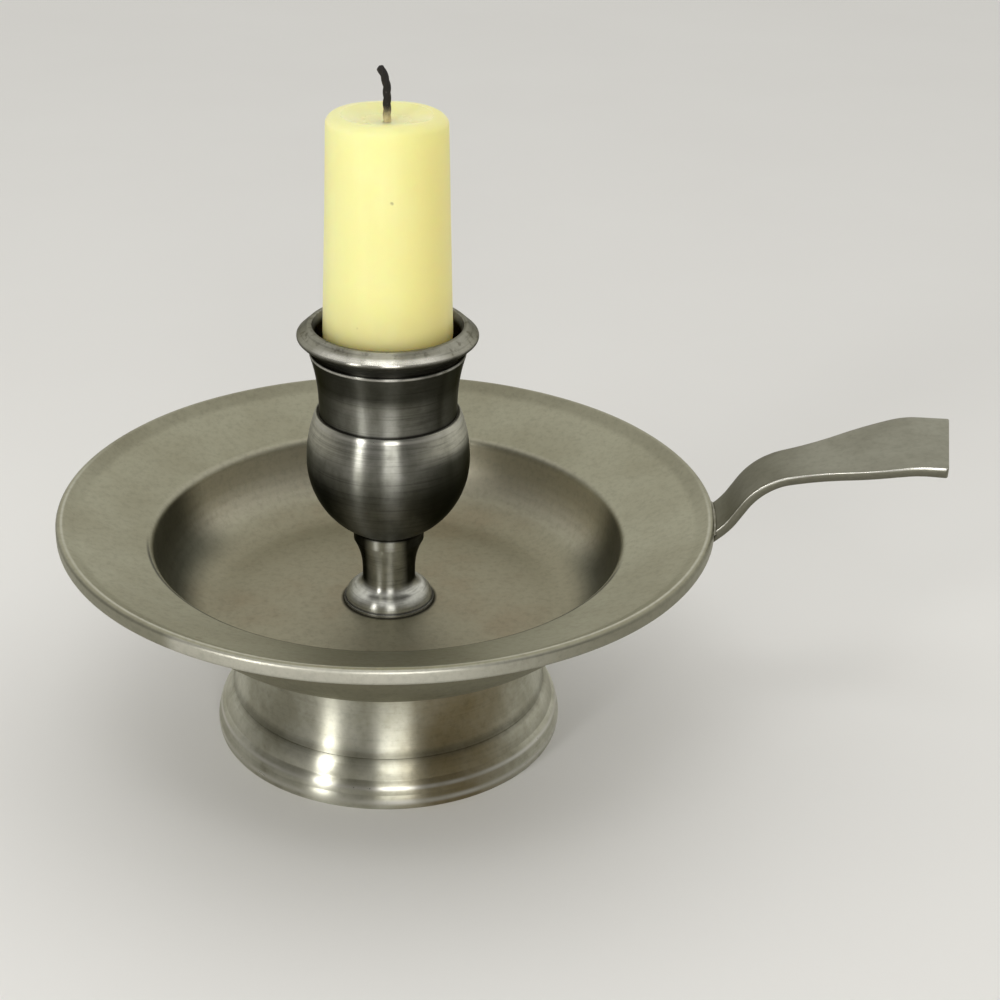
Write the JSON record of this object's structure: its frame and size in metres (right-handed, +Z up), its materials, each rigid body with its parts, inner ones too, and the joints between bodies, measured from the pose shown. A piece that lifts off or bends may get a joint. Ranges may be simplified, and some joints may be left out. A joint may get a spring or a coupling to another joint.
{
  "type": "chamberstick",
  "caption": "Pewter chamberstick: dished drip pan on a hollow foot, turned candle socket on a stem, flat strap handle, and a short candle that lifts out.",
  "frame": {"origin": "centre of the foot's base ring, on the surface that the chamberstick stands on", "axes": "+Z up along the socket's axis; +X along the handle; +Y to the left of the handle"},
  "size_m": [0.1579, 0.117, 0.123],
  "materials": {
    "pewter": "satin pewter, aged",
    "solder": "dull solder",
    "screw_steel": "plain steel",
    "wax": "smooth candle wax",
    "wick_cotton": "charred cotton"
  },
  "bodies": {
    "holder": {"drip_pan": "pewter", "foot": "pewter", "socket_stem": "pewter", "socket_bulb": "pewter", "socket_nozzle": "pewter", "strap_handle": "pewter", "foot_solder": "solder", "handle_solder": "solder", "fixing_screw": "screw_steel", "fixing_washer": "screw_steel"},
    "candle": {"candle": "wax", "wick": "wick_cotton"}
  },
  "joints": [
    {"name": "candle_lift", "type": "slide", "parent": "holder", "child": "candle", "axis": [0, 0, 1], "range_m": [0, 0.05]}
  ]
}
